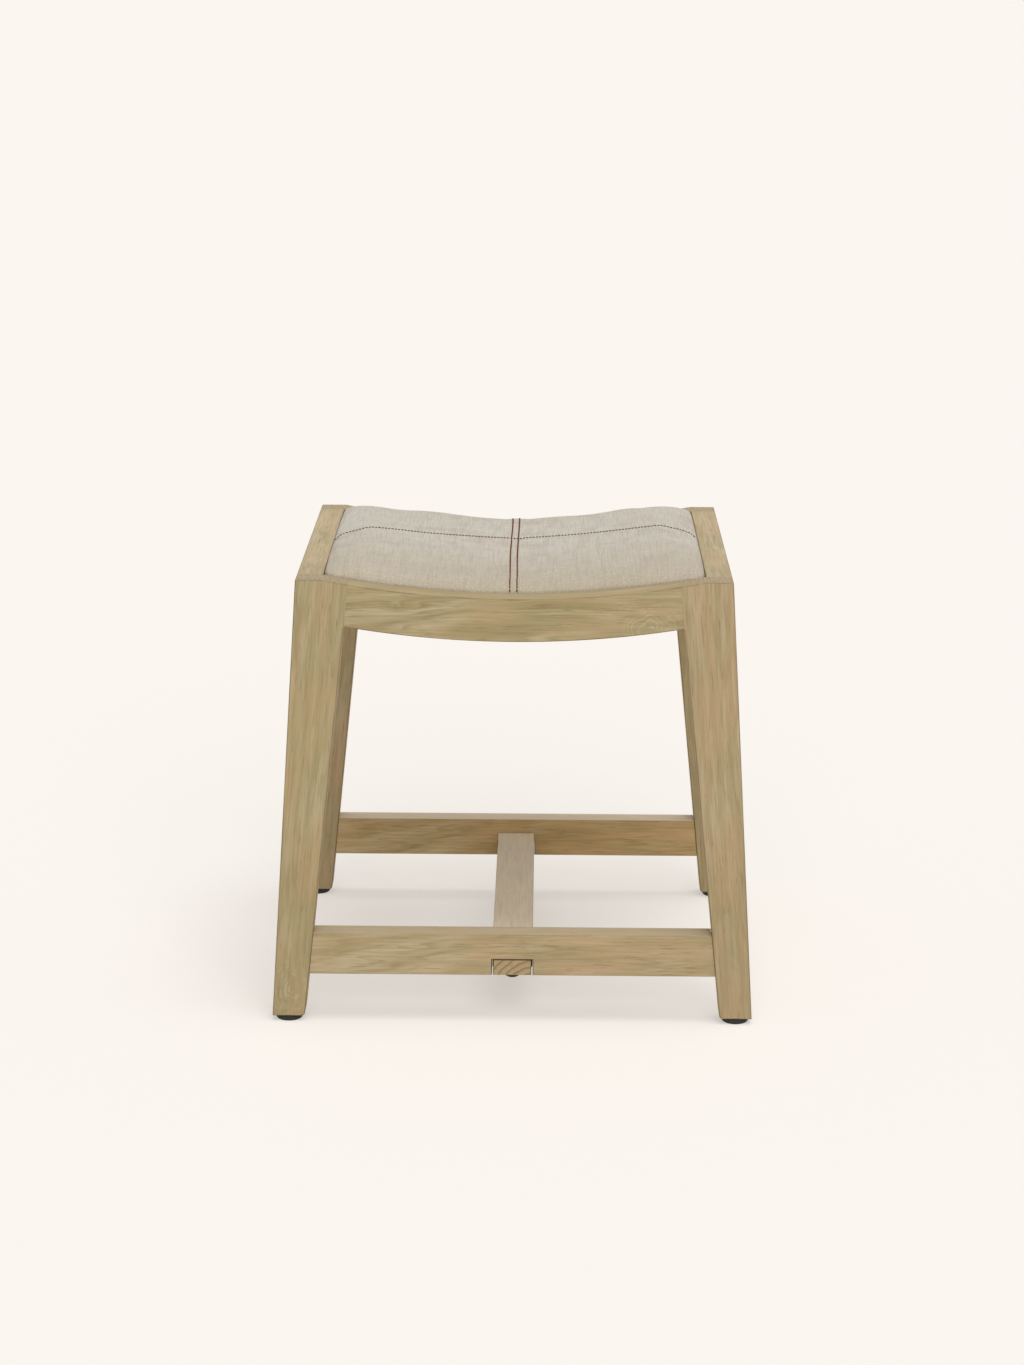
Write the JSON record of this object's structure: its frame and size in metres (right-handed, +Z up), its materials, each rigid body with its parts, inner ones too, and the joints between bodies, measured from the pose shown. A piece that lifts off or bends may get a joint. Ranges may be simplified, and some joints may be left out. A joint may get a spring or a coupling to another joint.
{
  "type": "saddle seat stool",
  "caption": "Low wooden stool with splayed tapered legs, curved aprons, an H of stretchers and an inset padded canvas saddle seat.",
  "frame": {"origin": "on the floor under the middle of the stool", "axes": "+Z up, +X to the right along the two aprons, -Y towards the front"},
  "size_m": [0.49, 0.432, 0.4748],
  "materials": {
    "bleached_wood": "bleached hardwood with a thin matt oil finish",
    "joinery_wood": "raw softwood and beech, unfinished",
    "plywood": "raw bent plywood",
    "canvas": "washed greige cotton canvas with brown topstitching",
    "seat_foam": "upholstery foam",
    "foot_rubber": "matt black moulded rubber",
    "black_steel": "black oxide steel",
    "zinc_steel": "bright zinc plated steel"
  },
  "bodies": {
    "root": {"front_left_leg": "bleached_wood", "front_right_leg": "bleached_wood", "rear_left_leg": "bleached_wood", "rear_right_leg": "bleached_wood", "front_apron": "bleached_wood", "rear_apron": "bleached_wood", "left_side_rail": "bleached_wood", "right_side_rail": "bleached_wood", "front_stretcher": "bleached_wood", "rear_stretcher": "bleached_wood", "cross_stretcher": "bleached_wood", "front_lap_bolt": "black_steel", "rear_lap_bolt": "black_steel", "front_left_foot": "foot_rubber", "front_right_foot": "foot_rubber", "rear_left_foot": "foot_rubber", "rear_right_foot": "foot_rubber", "front_left_foot_screw": "zinc_steel", "front_right_foot_screw": "zinc_steel", "rear_left_foot_screw": "zinc_steel", "rear_right_foot_screw": "zinc_steel", "front_left_apron_dowel_upper": "joinery_wood", "front_left_apron_dowel_lower": "joinery_wood", "front_right_apron_dowel_upper": "joinery_wood", "front_right_apron_dowel_lower": "joinery_wood", "rear_left_apron_dowel_upper": "joinery_wood", "rear_left_apron_dowel_lower": "joinery_wood", "rear_right_apron_dowel_upper": "joinery_wood", "rear_right_apron_dowel_lower": "joinery_wood", "front_left_rail_dowel_upper": "joinery_wood", "front_left_rail_dowel_lower": "joinery_wood", "front_right_rail_dowel_upper": "joinery_wood", "front_right_rail_dowel_lower": "joinery_wood", "rear_left_rail_dowel_upper": "joinery_wood", "rear_left_rail_dowel_lower": "joinery_wood", "rear_right_rail_dowel_upper": "joinery_wood", "rear_right_rail_dowel_lower": "joinery_wood", "front_left_corner_block": "joinery_wood", "front_right_corner_block": "joinery_wood", "rear_left_corner_block": "joinery_wood", "rear_right_corner_block": "joinery_wood", "front_left_block_rail_screw": "zinc_steel", "front_left_block_leg_screw": "zinc_steel", "front_right_block_rail_screw": "zinc_steel", "front_right_block_leg_screw": "zinc_steel", "rear_left_block_rail_screw": "zinc_steel", "rear_left_block_leg_screw": "zinc_steel", "rear_right_block_rail_screw": "zinc_steel", "rear_right_block_leg_screw": "zinc_steel", "front_left_seat_screw": "zinc_steel", "front_right_seat_screw": "zinc_steel", "rear_left_seat_screw": "zinc_steel", "rear_right_seat_screw": "zinc_steel", "seat_board": "plywood", "seat_foam": "seat_foam", "seat_cover": "canvas"}
  },
  "joints": []
}
